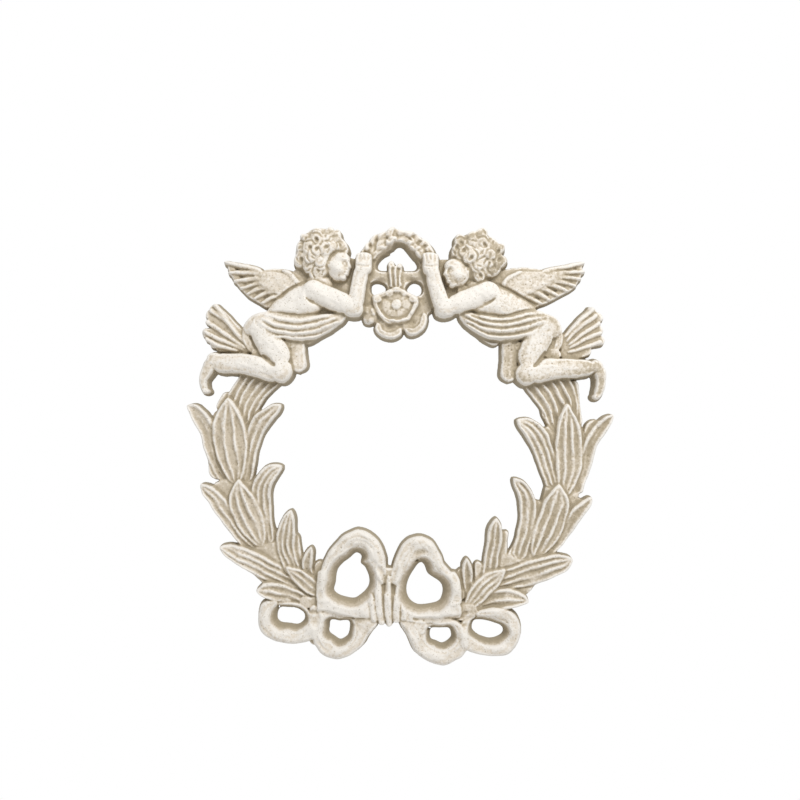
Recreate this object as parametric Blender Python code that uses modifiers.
"""Angel wreath wall ornament: one flat-backed casting, painted antique white.

Two cherubs hold up a flower crown over a ring of leaves that a bow ties together below. The pattern is
built as its carver would lay it up: strokes, such as leaves, limbs and ribbon, and bosses, such as heads,
curls and petals, all standing on the flat back. They are fused, softened as sand casting softens them,
and cut off flat at the back.

The frame is in metres with +Z up. The front faces -Y, the back lies in the plane Y = 0 against the wall,
and the origin is on the back of the crown's arch, which hangs on a nail.
"""

import math
from dataclasses import dataclass

import bmesh
import bpy
import numpy as np

# Driving dimensions. The pattern's places and sizes below are in drawing millimetres, with (0, 0) at the
# ring's centre, x to the right and z up, and a height is measured forward from the flat back.
OVERALL_WIDTH = 0.300
PATTERN_WIDTH = 300.0
UNIT = OVERALL_WIDTH / PATTERN_WIDTH
ARCH_ABOVE_CENTRE = 141.4

# Depths: the low ground that joins what stands on it, the stock cut off behind, and the walls' draft
WEB = 5.5
BACK_STOCK = 3.0
DRAFT = 0.10
LOOSE_DRAFT = 0.16

# Working of the pattern: grain and softening of the casting, and the faces that its light mesh keeps
GRAIN = 1.2
SOFTENING_STEPS = 3
SOFTENING = 0.5
SOLID_FACES = 8800

# Facets of one stroke or boss before it is fused
STATIONS = 12
STATION_PITCH = 2.2
CROWN_POINTS = 17
BOSS_SIDES = 20
BOSS_RINGS = 6
BOSS_CENTRE = 0.08

# Cross sections: the walls' share of the height, and crowns round or, below a bulge, nearly flat
EDGE_SHARE = 0.35
EDGE_WIDTH = 0.6
NARROWEST = 0.05
ROUND_CROWN = 2.0
FLAT_CROWN = 6.0
FLAT_BULGE = 0.3
RIBBED_WIDTH = 0.9

# Leaves: widths from root to tip as shares of the leaf's own, how far they bulge, and their ribs
LEAF_SHAPE = (0.62, 1.0, 1.0, 0.5)
LEAF_BULGE = 0.28
LEAF_RIB = 1.5
LEAF_ENDS = (0.5, 1.8)
LEAF_LIFT = 2.5
SIDE_LEAF_SHAPE = (0.9, 1.0, 1.0, 0.55)
SIDE_LEAF_BULGE = 0.4
SIDE_LEAF_RIB = 1.4
SIDE_LEAF_ENDS = (0.5, 1.1)
SIDE_LEAF_LIFT = 1.5

# Arch: its middle, how wide and high its rows of buds lie, and the rows: reach, count, size and height
ARCH_MIDDLE = (-1.2, 119.0)
ARCH_SPREAD = (0.82, 0.86)
ARCH_ROWS = ((27.0, 11, 8.0, 13.0), (20.5, 8, 6.4, 12.0))
ARCH_FROM = 6.0
ARCH_SWEEP = 168.0
SMALL_BUD = 0.84
LOW_BUD = 1.5

# Rosette: its middle, its petals' reach, size and height, and the looser petals: x, z, width and height
ROSETTE_MIDDLE = (-2.8, 94.6)
ROSETTE_REACH = (9.6, 8.6)
ROSETTE_PETALS = 5
PETAL_SIZE = (10.5, 11.0)
PETAL_HEIGHT = 12.4
PETAL_BULGE = 0.8
LOOSE_PETALS = ((-20.5, 88.5, 13.0, 11.5), (-8.5, 76.0, 16.5, 13.0), (11.0, 79.5, 16.0, 12.5),
                (17.0, 90.0, 9.5, 10.5))
LOOSE_PETAL_SHAPE = 0.82

PAINT_COLOUR = (0.72, 0.66, 0.57, 1.0)
PAINT_ROUGHNESS = 0.75

# Heads: centre, and the direction that the face looks in, in degrees from +X
HEADS = (((-56.0, 131.5), -38.0), ((55.5, 129.5), 215.0))
HEAD_REACH = 18.5
FACE_HALF_ANGLE = 56.0

# Hair: one lock's length and breadth, how it lies, and the rings of locks: share of reach, count, height
LOCK = (10.8, 8.0)
LOCK_TURN = 35.0
LOCK_STAGGER = 200.0
LOCK_RINGS = ((0.84, 11, 14.5), (0.44, 6, 19.0), (0.0, 1, 21.0))
INNER_RING = 0.3


@dataclass
class Stroke:
    """A raised band along a smooth path: its places, widths and crest heights, in drawing millimetres.

    A width is taken half way up the band's walls. bulge is how far the crown rises over the edges,
    as a share of the half width. ribs is how many ridges run along the band, rib_depth deep. ends says
    how long each end's rounding is, in half widths, and 0 cuts it blunt.
    """

    path: list
    widths: list
    heights: list
    bulge: float = 0.9
    ribs: int = 0
    rib_depth: float = 0.0
    ends: tuple = (1.0, 1.0)
    draft: float = DRAFT


@dataclass
class Boss:
    """A domed lump on an elliptical foot: its centre, size across and up, top height and turn in degrees."""

    centre: tuple
    size: tuple
    top: float
    bulge: float = 1.0
    turn: float = 0.0


def leaf(path, width, ribs=4, root=6.5, tip=11.0):
    """A ribbed leaf from its root to its pointed tip, widest in the middle and lifting towards the tip."""
    return Stroke(path, [width * share for share in LEAF_SHAPE], [root, root + LEAF_LIFT, tip - 0.5, tip],
                  bulge=LEAF_BULGE, ribs=ribs, rib_depth=LEAF_RIB, ends=LEAF_ENDS)


def side_leaf(path, width, ribs=3, root=6.0, tip=11.5):
    """A leaf seen half from the side, whose tip curls out of the ring."""
    return Stroke(path, [width * share for share in SIDE_LEAF_SHAPE],
                  [root, root + SIDE_LEAF_LIFT, tip - 1.0, tip],
                  bulge=SIDE_LEAF_BULGE, ribs=ribs, rib_depth=SIDE_LEAF_RIB, ends=SIDE_LEAF_ENDS)


def feather(path, width=6.2, height=9.5):
    """One flight feather of a wing."""
    return Stroke(path, [width, width, width * 0.7], [height, height + 0.5, height - 1.0],
                  ends=(1.0, 1.3))


def fold(path, widths, height=10.0):
    """One fold of the cloth that flies behind a cherub."""
    return Stroke(path, widths, [height - 1.5, height - 0.5, height + 0.5], bulge=0.7, ends=(1.0, 0.6))


def ribbon(path, widths, height=12.5):
    """A stretch of the bow's soft round ribbon."""
    return Stroke(path, widths, [height], bulge=0.85, draft=LOOSE_DRAFT)


def web(path, width, height=WEB):
    """The low ground of the casting that joins what stands on it."""
    return Stroke(path, [width], [height], bulge=0.15)


def limb(path, widths, heights, ends=(1.0, 1.0)):
    """A round limb or a stretch of the body."""
    return Stroke(path, widths, heights, bulge=0.85, ends=ends)


LEFT_LEAVES = [
    web([(-105.0, 33.5), (-116.0, 14.0), (-118.5, -7.0), (-115.0, -35.0), (-101.0, -66.5),
         (-80.5, -94.5), (-59.0, -113.5)], 25.0),
    web([(-136.0, 15.5), (-131.0, -3.5), (-128.0, -26.5)], 14.0),
    web([(-108.0, 15.5), (-103.0, 0.0), (-106.5, -24.5)], 11.0),
    web([(-131.5, -31.0), (-119.5, -45.5), (-109.0, -70.0)], 14.0),
    web([(-101.0, -26.5), (-101.0, -42.0), (-92.5, -70.0), (-82.5, -84.0)], 12.5),
    web([(-108.0, -81.0), (-94.0, -95.0), (-77.0, -108.0)], 15.5),
    web([(-70.5, -73.0), (-68.5, -98.0)], 9.0),
    web([(-57.5, -84.0), (-59.0, -106.5)], 10.0),
    web([(-129.5, 21.0), (-124.5, 0.0)], 10.0),
    web([(-120.5, 33.5), (-129.0, 19.5)], 8.5),
    Stroke([(-112.0, 8.5), (-111.5, 24.0), (-104.5, 36.5), (-94.0, 47.5)],
           [19.5, 28.0, 28.0, 26.5], [6.0, 6.5, 7.5, 8.0],
           bulge=0.2, ribs=7, rib_depth=1.5, ends=(0.6, 0.0)),
    side_leaf([(-124.5, -28.0), (-133.0, -9.0), (-137.0, 8.5), (-143.0, 19.5),
               (-150.0, 24.5)], 12.0, ribs=2),
    side_leaf([(-110.0, -29.5), (-105.5, -7.0), (-101.5, 7.0), (-93.0, 17.5),
               (-83.5, 24.5)], 13.5, ribs=3),
    leaf([(-115.0, -32.0), (-119.0, -7.0), (-121.0, 12.0), (-121.5, 29.5)], 24.5, ribs=5),
    side_leaf([(-103.5, -77.0), (-117.5, -61.5), (-129.0, -45.5), (-140.5, -31.0)], 13.5, ribs=3),
    side_leaf([(-94.0, -74.0), (-97.5, -52.5), (-97.5, -35.0), (-91.5, -24.0),
               (-82.5, -18.0)], 14.5, ribs=4),
    leaf([(-97.5, -75.5), (-105.5, -57.5), (-111.5, -43.5), (-113.5, -28.0)], 20.5, ribs=5),
    side_leaf([(-68.5, -105.5), (-89.0, -94.5), (-108.0, -84.0), (-127.5, -75.5)], 15.5, ribs=4),
    side_leaf([(-75.0, -95.0), (-80.5, -77.0), (-80.0, -63.0), (-76.5, -49.0)], 14.0, ribs=4),
    side_leaf([(-63.5, -101.0), (-66.0, -89.0), (-62.5, -75.0)], 8.5, ribs=2),
    side_leaf([(-63.0, -116.0), (-78.5, -110.0), (-90.5, -106.5), (-101.5, -105.5)], 13.5, ribs=3),
    leaf([(-56.0, -110.0), (-68.0, -99.5), (-80.5, -90.5)], 12.0, ribs=3, tip=9.5),
]

RIGHT_LEAVES = [
    web([(106.5, 32.0), (116.0, 10.5), (118.5, -10.5), (114.0, -38.5), (102.0, -70.0), (82.0, -99.5),
         (56.0, -117.5)], 25.0),
    web([(105.0, 11.0), (103.0, -3.5), (107.0, -26.5)], 11.0),
    web([(138.5, 14.0), (131.5, -7.0), (124.0, -31.5)], 12.5),
    web([(129.0, -42.0), (118.5, -56.0), (109.0, -77.0)], 14.0),
    web([(95.0, -42.0), (96.0, -56.0), (85.5, -77.0), (74.0, -92.5)], 12.5),
    web([(109.0, -89.5), (91.0, -99.5), (73.0, -110.5)], 14.0),
    web([(74.0, -60.0), (71.5, -94.5)], 10.5),
    web([(54.5, -86.0), (56.0, -106.5)], 8.5),
    web([(42.0, -91.0), (46.0, -109.0)], 8.5),
    web([(124.0, 42.0), (127.5, 10.0)], 7.5),
    Stroke([(113.5, 4.0), (114.0, 21.0), (109.0, 33.5), (101.5, 44.0)],
           [21.0, 29.5, 33.0, 31.0], [6.0, 6.5, 7.5, 8.0],
           bulge=0.2, ribs=7, rib_depth=1.5, ends=(0.6, 0.0)),
    side_leaf([(124.5, -38.0), (131.5, -19.0), (136.0, -2.0), (141.5, 10.0),
               (150.5, 18.0)], 10.5, ribs=2),
    side_leaf([(110.0, -33.5), (103.5, -14.0), (98.5, -1.5), (91.5, 7.5), (81.0, 14.0)], 15.5, ribs=4),
    leaf([(116.0, -40.5), (119.0, -17.5), (119.0, 3.5), (117.5, 25.0)], 19.5, ribs=4),
    side_leaf([(104.5, -81.0), (115.5, -66.0), (124.5, -53.0), (135.0, -40.0)], 10.5, ribs=2),
    side_leaf([(83.5, -84.0), (88.0, -64.5), (88.5, -46.0), (85.5, -35.5), (78.5, -25.0)], 13.5, ribs=3),
    leaf([(94.5, -84.0), (103.5, -64.5), (110.0, -47.5), (112.5, -31.5)], 21.0, ribs=5),
    side_leaf([(59.0, -104.5), (84.0, -96.0), (103.5, -90.5), (122.0, -84.0)], 17.5, ribs=4),
    side_leaf([(61.5, -101.0), (64.5, -81.0), (66.0, -66.5), (66.5, -54.0)], 12.5, ribs=3),
    side_leaf([(49.5, -110.5), (47.5, -96.5), (47.0, -83.5)], 8.5, ribs=2),
    side_leaf([(47.5, -120.5), (63.0, -114.0), (76.5, -112.0), (91.0, -113.5)], 15.5, ribs=3),
    leaf([(45.0, -121.0), (59.0, -104.5), (73.5, -91.0)], 14.0, ribs=4, tip=9.5),
]

BOW = [
    ribbon([(-12.0, -114.0), (-15.5, -98.0), (-17.5, -84.0), (-22.5, -74.0),
            (-30.0, -70.5), (-38.0, -75.0), (-46.0, -82.5), (-51.0, -94.0),
            (-52.5, -106.5), (-50.5, -115.0), (-38.5, -117.0), (-26.5, -117.0), (-14.0, -116.0)],
           [14.0, 14.0, 15.5, 17.0, 17.5, 16.0, 14.0, 14.0, 14.0, 14.0, 14.5, 14.5, 15.5]),
    ribbon([(-15.5, -124.5), (-25.0, -133.0), (-31.0, -143.0), (-41.5, -147.5),
            (-52.5, -143.5), (-56.5, -133.5), (-50.5, -124.0), (-38.0, -123.0)],
           [10.5, 14.0, 12.5, 14.0, 14.0, 12.5, 10.0, 8.5], 11.5),
    ribbon([(-77.0, -114.0), (-88.0, -115.5), (-93.5, -124.5), (-91.5, -133.5),
            (-82.5, -136.5), (-72.0, -138.0), (-63.5, -134.5), (-56.5, -121.0)],
           [9.0, 12.0, 14.5, 14.0, 12.5, 13.5, 14.0, 13.5], 11.5),
    ribbon([(-5.5, -116.0), (-2.0, -101.0), (2.0, -86.0), (8.5, -77.5),
            (15.5, -76.5), (21.5, -82.0), (26.0, -89.0), (32.0, -95.0),
            (37.0, -105.0), (37.0, -115.5), (26.5, -121.0), (12.5, -122.0), (-3.0, -119.5)],
           [14.0, 12.5, 14.5, 17.5, 19.0, 17.0, 14.5, 12.5, 13.5, 12.5, 14.0, 14.5, 15.5]),
    ribbon([(-2.0, -126.0), (7.0, -135.0), (14.0, -145.5), (26.5, -152.0),
            (38.0, -147.5), (42.5, -138.5), (36.5, -130.0), (21.0, -126.5)],
           [10.5, 14.0, 14.5, 14.5, 14.0, 12.5, 9.0, 7.0], 11.5),
    ribbon([(53.0, -122.5), (68.0, -122.0), (77.0, -126.0), (79.0, -135.0),
            (73.5, -144.5), (60.0, -146.0), (49.5, -143.0), (44.0, -131.0)],
           [7.5, 10.0, 12.5, 13.5, 13.5, 12.0, 13.5, 12.5], 11.5),
    web([(-8.5, -88.0), (-9.0, -109.0)], 21.0, 10.0),
    web([(-71.5, -116.0), (-56.0, -113.5)], 8.5, 8.0),
    web([(-17.0, -123.0), (-32.0, -127.5)], 10.0, 9.0),
    web([(0.0, -123.0), (18.0, -130.0)], 10.5, 9.0),
    web([(38.0, -119.5), (54.5, -120.5)], 10.0, 9.0),
    web([(-26.5, -84.5), (-24.0, -81.0)], 10.0, 9.0),
    web([(1.5, -109.0), (8.5, -113.5)], 8.5, 9.0),
    Stroke([(-8.5, -91.0), (-9.0, -112.0), (-9.0, -131.0)], [12.5, 18.0, 21.0],
           [12.0, 14.0, 13.0], bulge=0.5, ribs=5,
           rib_depth=1.6, ends=(1.0, 0.2)),
]

CROWN = [
    Stroke([(-23.0, 120.5), (-22.5, 129.5), (-13.5, 137.5), (-1.5, 142.0), (9.0, 138.5),
            (19.0, 131.0), (20.5, 120.5)],
           [10.5, 14.5, 14.5, 14.5, 15.5, 14.5, 11.0], [8.0, 9.5, 10.5, 11.0, 10.5, 9.5, 8.0], bulge=0.7,
           draft=LOOSE_DRAFT),
    web([(-21.0, 133.0), (-21.5, 108.5), (-24.0, 89.5)], 7.0, 6.0),
    web([(19.5, 133.0), (18.0, 108.5), (18.0, 88.0)], 8.5, 6.0),
    web([(-22.5, 89.5), (-11.0, 82.5), (3.0, 81.0), (17.0, 88.0)], 12.5, 7.0),
    Stroke([(-21.5, 115.0), (-3.0, 115.0)], [10.0], [7.5], bulge=0.6),
    Stroke([(-1.5, 115.0), (19.0, 115.0)], [10.0], [7.5], bulge=0.6),
    Stroke([(-3.0, 99.5), (-3.0, 112.0), (-3.0, 124.5)], [10.5, 10.0, 11.0], [10.5, 11.0, 11.0],
           bulge=0.6, ribs=3,
           rib_depth=1.4, ends=(0.5, 0.3)),
    Boss((-3.0, 94.5), (31.0, 28.0), 9.0, bulge=0.35),
    Boss((-3.0, 95.0), (8.5, 8.5), 13.5),
]

LEFT_ANGEL = [
    web([(-34.5, 129.0), (-33.5, 98.0)], 10.5, 7.0),
    web([(-43.5, 109.0), (-35.0, 98.0)], 14.0, 7.0),
    web([(-82.5, 85.5), (-43.5, 96.5)], 25.0, 8.0),
    web([(-80.0, 68.5), (-67.0, 61.5)], 14.0, 9.0),
    web([(-68.5, 68.5), (-46.0, 81.0)], 11.0, 8.0),
    web([(-130.0, 65.0), (-105.0, 63.5)], 7.0, 7.0),
    web([(-108.0, 84.0), (-96.5, 61.5)], 14.0, 9.0),
    # Wing
    Stroke([(-68.0, 102.0), (-81.0, 108.5), (-94.0, 112.5), (-103.5, 116.0)], [22.5, 24.5, 18.0, 9.0],
           [10.0, 10.5, 10.5, 9.5],
           bulge=0.35),
    Stroke([(-83.5, 119.0), (-76.5, 115.5), (-70.0, 106.5)], [4.0, 5.0, 4.0], [12.0]),
    feather([(-77.0, 98.5), (-87.0, 96.5), (-94.5, 93.0)]),
    feather([(-81.0, 102.0), (-92.5, 99.5), (-101.0, 95.0)]),
    feather([(-86.0, 105.0), (-98.0, 103.5), (-107.0, 98.5)]),
    feather([(-89.5, 108.0), (-102.0, 107.0), (-112.0, 103.0)]),
    feather([(-91.5, 110.5), (-105.5, 111.5), (-116.0, 108.0)]),
    feather([(-93.0, 112.5), (-107.0, 115.0), (-119.0, 112.5)]),
    feather([(-94.0, 115.0), (-108.5, 118.5), (-121.0, 118.5)]),
    feather([(-92.5, 117.5), (-108.0, 120.5), (-124.5, 126.0)]),
    # Cloth flying behind
    fold([(-108.0, 75.5), (-119.0, 84.5), (-131.5, 96.5)], [7.5, 9.0, 7.5]),
    fold([(-106.5, 71.5), (-122.0, 80.5), (-137.0, 91.0)], [7.5, 9.0, 9.0]),
    fold([(-105.5, 67.0), (-122.0, 74.0), (-139.5, 75.5)], [7.5, 8.5, 9.0]),
    fold([(-105.0, 63.5), (-119.0, 67.0), (-134.5, 68.5)], [5.5, 7.0, 7.0], 9.0),
    Stroke([(-108.0, 82.5), (-108.5, 71.5), (-103.5, 61.0)], [5.5, 6.5, 5.5], [12.5, 12.0, 11.5]),
    # Body and drapery
    limb([(-51.0, 103.5), (-66.0, 98.0), (-80.0, 90.5), (-95.0, 82.5)], [19.5, 25.0, 23.0, 17.0],
         [16.0, 17.0, 15.5, 13.0]),
    Stroke([(-102.0, 84.5), (-84.0, 80.0), (-65.0, 78.5), (-49.5, 82.5), (-36.5, 88.0)],
           [14.0, 19.0, 19.0, 14.5, 7.5], [14.0, 16.0, 16.0, 15.0, 12.0],
           bulge=0.5, ribs=5, rib_depth=1.6, ends=(0.6, 0.8)),
    Boss((-104.5, 83.5), (13.5, 12.5), 15.5),
    # Legs
    limb([(-72.0, 68.5), (-70.5, 57.5), (-70.0, 46.0)], [12.5, 14.5, 14.0], [11.0, 12.0, 12.5]),
    limb([(-99.5, 80.0), (-93.0, 66.0), (-83.5, 51.0)], [19.0, 21.5, 19.5], [15.5, 17.5, 18.5]),
    Boss((-83.5, 49.0), (19.0, 19.0), 18.5, bulge=0.8),
    limb([(-80.0, 47.0), (-101.0, 52.5), (-116.0, 54.0), (-134.5, 56.5)], [18.0, 20.5, 18.0, 12.5],
         [18.5, 17.5, 15.5, 14.5]),
    limb([(-131.0, 60.0), (-135.0, 49.5), (-136.5, 42.0), (-134.0, 31.5)], [14.0, 14.0, 12.0, 8.5],
         [14.5, 14.0, 13.5, 12.0]),
    # Arm and hand
    Boss((-59.0, 104.5), (16.0, 15.5), 18.5, bulge=0.8),
    limb([(-64.5, 106.5), (-47.0, 98.0), (-29.5, 88.0)], [16.0, 15.5, 15.5], [18.0, 19.0, 18.5]),
    limb([(-34.5, 84.5), (-30.0, 103.5), (-26.5, 123.0)], [15.5, 14.0, 12.0], [18.5, 18.5, 17.0]),
    limb([(-27.5, 112.0), (-25.5, 122.0), (-25.0, 131.0)], [10.5, 12.5, 12.0], [17.0, 17.5, 16.5],
         ends=(1.0, 0.4)),
    # Head and face
    limb([(-56.0, 119.0), (-57.5, 101.0)], [19.5, 21.0], [14.5, 15.5]),
    Boss((-56.0, 131.5), (37.0, 35.5), 19.0, bulge=0.8),
    Boss((-43.5, 137.0), (14.0, 15.5), 16.5, bulge=0.8),
    Boss((-43.5, 121.0), (19.0, 21.5), 17.0, bulge=0.85, turn=-20.0),
    Boss((-40.0, 112.5), (11.0, 9.0), 13.5, bulge=0.9),
]

RIGHT_ANGEL = [
    web([(30.0, 124.5), (32.0, 99.5)], 11.0, 7.0),
    web([(25.0, 124.0), (39.0, 124.0)], 8.5, 7.0),
    web([(66.0, 113.5), (85.5, 118.5)], 10.5, 8.0),
    web([(43.5, 106.5), (34.5, 98.0)], 14.0, 7.0),
    web([(80.0, 87.0), (43.5, 95.0)], 25.0, 8.0),
    web([(87.0, 66.0), (73.0, 59.0)], 15.5, 9.0),
    web([(70.0, 67.0), (47.5, 81.0)], 11.0, 8.0),
    web([(137.0, 65.0), (112.0, 59.5)], 6.5, 7.0),
    web([(108.0, 82.5), (101.5, 60.0)], 15.5, 9.0),
    # Wing
    Stroke([(70.5, 103.5), (84.5, 109.0), (98.0, 112.5), (110.5, 117.0)], [22.5, 25.0, 19.0, 9.0],
           [10.0, 10.5, 10.5, 9.5],
           bulge=0.35),
    Stroke([(87.0, 118.5), (76.5, 113.5), (71.5, 105.0)], [4.0, 5.0, 4.0], [12.0]),
    feather([(80.0, 97.5), (89.5, 96.0), (98.0, 93.0)]),
    feather([(84.5, 101.0), (96.0, 99.5), (105.5, 96.5)]),
    feather([(89.5, 103.5), (101.5, 103.0), (112.0, 100.0)]),
    feather([(93.0, 106.5), (106.5, 106.5), (118.5, 104.5)]),
    feather([(96.0, 109.0), (110.0, 110.0), (123.0, 108.5)]),
    feather([(98.0, 111.5), (112.5, 113.5), (127.5, 113.5)]),
    feather([(98.5, 114.0), (114.0, 117.0), (129.5, 118.5)]),
    feather([(98.0, 117.5), (114.0, 120.5), (130.0, 124.5)]),
    # Cloth flying behind
    fold([(112.0, 71.5), (123.0, 82.0), (135.0, 94.5)], [7.5, 9.0, 8.5]),
    fold([(112.0, 68.0), (126.0, 77.0), (141.5, 87.5)], [7.0, 8.5, 8.5]),
    fold([(112.5, 65.0), (127.5, 72.0), (142.0, 78.5)], [7.0, 7.5, 8.5]),
    fold([(113.5, 61.5), (129.0, 67.0), (143.0, 69.5)], [7.0, 8.5, 9.0]),
    fold([(113.5, 59.0), (124.5, 61.0), (136.0, 63.5)], [5.0, 5.5, 5.5], 8.5),
    Stroke([(110.5, 80.0), (112.0, 70.0), (108.5, 60.0)], [5.5, 6.5, 5.5], [12.5, 12.0, 11.5]),
    # Body and drapery
    limb([(47.0, 101.0), (61.5, 98.0), (78.5, 91.5), (98.0, 83.5)], [19.5, 25.0, 24.0, 17.0],
         [16.0, 17.0, 15.5, 13.0]),
    Stroke([(41.5, 87.5), (56.5, 80.5), (73.5, 77.5), (89.0, 80.5), (104.5, 85.5)],
           [9.0, 17.5, 20.5, 19.5, 13.5], [12.0, 15.0, 16.0, 15.5, 14.0],
           bulge=0.5, ribs=5, rib_depth=1.6, ends=(0.8, 0.6)),
    Boss((104.5, 82.0), (14.0, 14.0), 15.5),
    # Legs
    limb([(76.5, 66.0), (75.5, 53.0), (75.5, 39.0)], [12.5, 14.5, 14.0], [11.0, 12.0, 12.5]),
    limb([(101.5, 76.5), (94.5, 62.5), (87.5, 49.0)], [19.0, 21.0, 19.0], [15.5, 17.5, 18.5]),
    Boss((88.0, 46.0), (19.5, 20.5), 18.5, bulge=0.8),
    limb([(83.5, 41.5), (104.5, 49.5), (121.0, 51.5), (140.0, 52.0)], [18.0, 19.0, 15.5, 12.0],
         [18.5, 17.5, 15.5, 14.5]),
    limb([(136.0, 56.5), (137.0, 45.0), (138.5, 36.5), (137.0, 25.0)], [14.0, 13.5, 11.0, 8.5],
         [14.5, 14.0, 13.5, 12.0]),
    # Arm and hand
    Boss((61.5, 103.5), (17.0, 16.0), 18.5, bulge=0.8),
    limb([(67.0, 106.5), (47.5, 97.5), (27.5, 89.0)], [17.0, 15.5, 16.0], [18.0, 19.0, 18.5]),
    limb([(30.0, 84.0), (24.0, 104.5), (21.5, 123.0)], [16.0, 14.5, 12.5], [18.5, 18.5, 17.0]),
    limb([(21.5, 112.0), (21.5, 122.0), (21.5, 131.0)], [11.0, 12.0, 10.5], [17.0, 17.5, 16.5],
         ends=(1.0, 0.5)),
    # Head and face
    limb([(54.0, 116.0), (56.0, 99.5)], [21.0, 22.5], [14.5, 15.5]),
    Boss((55.0, 129.0), (38.0, 35.5), 19.0, bulge=0.8),
    Boss((42.5, 135.0), (15.5, 17.0), 16.5, bulge=0.8),
    Boss((39.0, 117.5), (21.5, 21.0), 17.0, bulge=0.85, turn=20.0),
    Boss((35.0, 108.0), (12.0, 10.0), 13.5, bulge=0.9),
]


def crown_flowers():
    """The buds and leaflets packed in two rows along the arch, alternately larger and smaller."""
    buds = []
    for reach, count, size, top in ARCH_ROWS:
        for i in range(count):
            angle = math.radians(ARCH_FROM + ARCH_SWEEP * i / (count - 1))
            centre = (ARCH_MIDDLE[0] + reach * ARCH_SPREAD[0] * math.cos(angle),
                      ARCH_MIDDLE[1] + reach * ARCH_SPREAD[1] * math.sin(angle))
            grown = 1.0 if i % 2 else SMALL_BUD
            lowered = LOW_BUD if i % 2 else 0.0
            buds.append(Boss(centre, (size * grown, size), top - lowered, turn=math.degrees(angle)))
    return buds


def rosette_petals():
    """The cupped petals round the rosette's boss, from the top one on, and the looser ones under them."""
    petals = []
    for i in range(ROSETTE_PETALS):
        turned = 360.0 * i / ROSETTE_PETALS
        angle = math.radians(90.0 + turned)
        centre = (ROSETTE_MIDDLE[0] + ROSETTE_REACH[0] * math.cos(angle),
                  ROSETTE_MIDDLE[1] + ROSETTE_REACH[1] * math.sin(angle))
        petals.append(Boss(centre, PETAL_SIZE, PETAL_HEIGHT, bulge=PETAL_BULGE, turn=turned))
    for x, z, width, top in LOOSE_PETALS:
        petals.append(Boss((x, z), (width, width * LOOSE_PETAL_SHAPE), top, bulge=PETAL_BULGE))
    return petals


def curls(centre, face_direction):
    """Rings of short locks over a head, left off on the side where the face looks out (in degrees)."""
    locks = []
    for share, count, top in LOCK_RINGS:
        for i in range(count):
            angle = 360.0 * i / count + LOCK_STAGGER * share
            aside = abs((angle - face_direction + 180.0) % 360.0 - 180.0)
            if share > INNER_RING and aside < FACE_HALF_ANGLE:
                continue
            x = centre[0] + HEAD_REACH * share * math.cos(math.radians(angle))
            z = centre[1] + HEAD_REACH * share * math.sin(math.radians(angle))
            locks.append(Boss((x, z), LOCK, top, turn=angle + LOCK_TURN))
    return locks


def spline(rows, places):
    """A Catmull-Rom curve through the rows, read at places from 0 to 1."""
    rows = np.array(rows, dtype=float)
    if len(rows) == 1:
        return np.repeat(rows, len(places), axis=0)
    padded = np.vstack([2 * rows[0] - rows[1], rows, 2 * rows[-1] - rows[-2]])
    along = places * (len(rows) - 1)
    span = np.minimum(along.astype(int), len(rows) - 2)
    t = (along - span)[:, None]
    a, b, c, d = (padded[span + k] for k in range(4))
    return b + t / 2 * (c - a + t * (2 * a - 5 * b + 4 * c - d + t * (3 * b - a - 3 * c + d)))


def stroke_sections(stroke):
    """The stroke's cross sections from end to end, each a ring of places (x, z, height).

    A ring runs over the crown from edge to edge and comes back under the casting's back. It narrows to
    round the stroke's ends, and its foot is a little wider than its edges, for draft.
    """
    length_of = np.linalg.norm(np.diff(np.array(stroke.path, dtype=float), axis=0), axis=1).sum()
    count = max(STATIONS, int(length_of / STATION_PITCH))
    places = (1 - np.cos(np.linspace(0, math.pi, count))) / 2
    centre = spline(stroke.path, places)
    half = spline(np.array(stroke.widths)[:, None], places)[:, 0] / 2
    crest = spline(np.array(stroke.heights)[:, None], places)[:, 0]
    heading = np.gradient(centre, axis=0)
    heading /= np.linalg.norm(heading, axis=1, keepdims=True)
    across = np.stack([-heading[:, 1], heading[:, 0]], axis=1)
    travelled = np.concatenate([[0.0], np.cumsum(np.linalg.norm(np.diff(centre, axis=0), axis=1))])
    ease = np.ones(count)
    for distance, end in ((travelled, stroke.ends[0]), (travelled[-1] - travelled, stroke.ends[1])):
        if end:
            rounding = np.clip(distance / (end * half.max()), 0.0, 1.0)
            ease *= np.sqrt(1 - (1 - rounding) ** 2)
    edge = np.maximum(crest - stroke.bulge * half, EDGE_SHARE * crest)
    t = np.linspace(-1, 1, CROWN_POINTS)
    crown = np.sqrt(1 - np.abs(t) ** (ROUND_CROWN if stroke.bulge > FLAT_BULGE else FLAT_CROWN))
    groove = np.zeros(CROWN_POINTS)
    if stroke.ribs:
        groove = stroke.rib_depth * (np.cos(math.pi * (t / RIBBED_WIDTH + 1) * (stroke.ribs - 1)) - 1) / 2
        groove *= np.abs(t) < RIBBED_WIDTH
    sections = []
    for i in range(count):
        middle = half[i] * max(ease[i], NARROWEST)
        foot = middle + stroke.draft * crest[i] / 2
        wide = max(middle - stroke.draft * crest[i] / 2, EDGE_WIDTH * middle)
        height = edge[i] + (crest[i] - edge[i]) * crown * ease[i] + groove * ease[i]
        top = [(*(centre[i] + across[i] * wide * s), h) for s, h in zip(t, height)]
        under = [(*(centre[i] + across[i] * foot * s), -BACK_STOCK) for s in (1.0, -1.0)]
        sections.append(top + under)
    return sections


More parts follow.
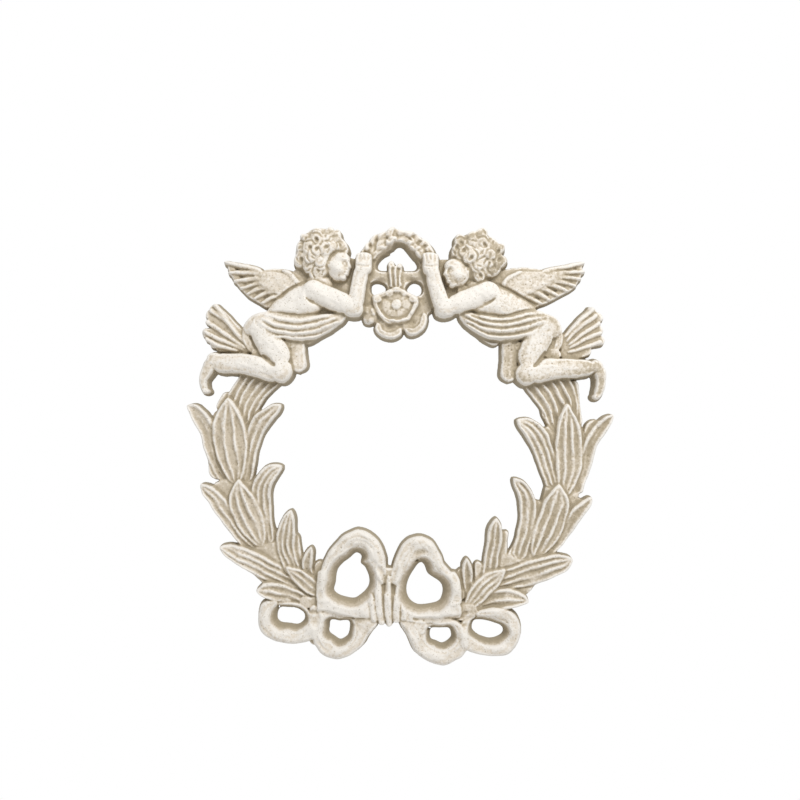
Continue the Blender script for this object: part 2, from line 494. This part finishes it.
def boss_sections(boss):
    """The boss's rings from the middle of its crown down to behind the back, as places (x, z, height)."""
    turn = math.radians(boss.turn)
    reach = min(boss.size) / 2
    edge = max(boss.top - boss.bulge * reach, EDGE_SHARE * boss.top)
    wide = max(1.0 - DRAFT * edge / reach, EDGE_WIDTH)
    levels = [(wide * math.sin(a), edge + (boss.top - edge) * math.cos(a))
              for a in np.linspace(BOSS_CENTRE, math.pi / 2, BOSS_RINGS)]
    levels.append((1.0, -BACK_STOCK))
    sections = []
    for share, height in levels:
        ring = []
        for angle in np.linspace(0, 2 * math.pi, BOSS_SIDES, endpoint=False):
            x, z = boss.size[0] / 2 * share * math.cos(angle), boss.size[1] / 2 * share * math.sin(angle)
            ring.append((boss.centre[0] + x * math.cos(turn) - z * math.sin(turn),
                         boss.centre[1] + x * math.sin(turn) + z * math.cos(turn), height))
        sections.append(ring)
    return sections


def in_frame(place):
    """A drawing place (x, z, height) as a point of the part's own frame, in metres."""
    x, z, height = place
    return x * UNIT, -height * UNIT, (z - ARCH_ABOVE_CENTRE) * UNIT


def add_loft(bm, sections):
    """Skin the sections one to the next, and close both ends."""
    rings = [[bm.verts.new(in_frame(place)) for place in ring] for ring in sections]
    for near, far in zip(rings, rings[1:]):
        for k in range(len(near)):
            m = (k + 1) % len(near)
            bm.faces.new((near[k], far[k], far[m], near[m]))
    bm.faces.new(rings[0])
    bm.faces.new(reversed(rings[-1]))


def make_object(name, bm, collection):
    """A new object in the collection, with the bmesh as its mesh."""
    bmesh.ops.recalc_face_normals(bm, faces=bm.faces[:])
    mesh = bpy.data.meshes.new(name)
    bm.to_mesh(mesh)
    bm.free()
    obj = bpy.data.objects.new(name, mesh)
    collection.objects.link(obj)
    return obj


def new_collection(name):
    """A new collection in the scene."""
    collection = bpy.data.collections.new(name)
    bpy.context.scene.collection.children.link(collection)
    return collection


def antique_white():
    """The casting's paint: antique white, dull."""
    material = bpy.data.materials.new("antique_white")
    material.use_nodes = True
    shader = material.node_tree.nodes["Principled BSDF"]
    shader.inputs["Base Color"].default_value = PAINT_COLOUR
    shader.inputs["Roughness"].default_value = PAINT_ROUGHNESS
    shader.inputs["Metallic"].default_value = 0.0
    return material


def faces_after_modifiers(obj):
    """How many faces the object has once its modifiers are worked out."""
    view = bpy.context.evaluated_depsgraph_get()
    view.update()
    return len(obj.evaluated_get(view).data.polygons)


def make_back_cutter(collection):
    """The block behind the wall plane, which cuts the casting's back flat."""
    bm = bmesh.new()
    size = 1.5 * OVERALL_WIDTH
    bmesh.ops.create_cube(bm, size=1.0)
    bmesh.ops.scale(bm, vec=(size, size, size), verts=bm.verts)
    bmesh.ops.translate(bm, vec=(0.0, size / 2, -ARCH_ABOVE_CENTRE * UNIT), verts=bm.verts)
    cutter = make_object("back_cutter", bm, collection)
    cutter.hide_render = True
    cutter.display_type = "WIRE"
    return cutter


def make_casting(collection, cutters):
    """The whole casting: every stroke and boss fused, softened, thinned to a light mesh and cut flat."""
    bm = bmesh.new()
    for element in pattern():
        add_loft(bm, stroke_sections(element) if isinstance(element, Stroke) else boss_sections(element))
    casting = make_object("angel_wreath", bm, collection)
    fuse = casting.modifiers.new("fuse", "REMESH")
    fuse.mode = "VOXEL"
    fuse.voxel_size = GRAIN * UNIT
    soften = casting.modifiers.new("soften", "SMOOTH")
    soften.factor = SOFTENING
    soften.iterations = SOFTENING_STEPS
    thin = casting.modifiers.new("thin", "DECIMATE")
    thin.ratio = 1.0
    thin.ratio = SOLID_FACES / (2.0 * faces_after_modifiers(casting))
    flat = casting.modifiers.new("flat_back", "BOOLEAN")
    flat.operation = "DIFFERENCE"
    flat.solver = "EXACT"
    flat.object = make_back_cutter(cutters)
    casting.data.materials.append(antique_white())
    return casting


def pattern():
    """Everything that stands on the casting's back."""
    elements = LEFT_LEAVES + RIGHT_LEAVES + BOW + CROWN + LEFT_ANGEL + RIGHT_ANGEL
    elements = elements + crown_flowers() + rosette_petals()
    for centre, face_direction in HEADS:
        elements = elements + curls(centre, face_direction)
    return elements


def main():
    """Clear the scene and make the ornament."""
    for obj in list(bpy.data.objects):
        bpy.data.objects.remove(obj)
    make_casting(new_collection("angel_wreath"), new_collection("cutters"))


main()
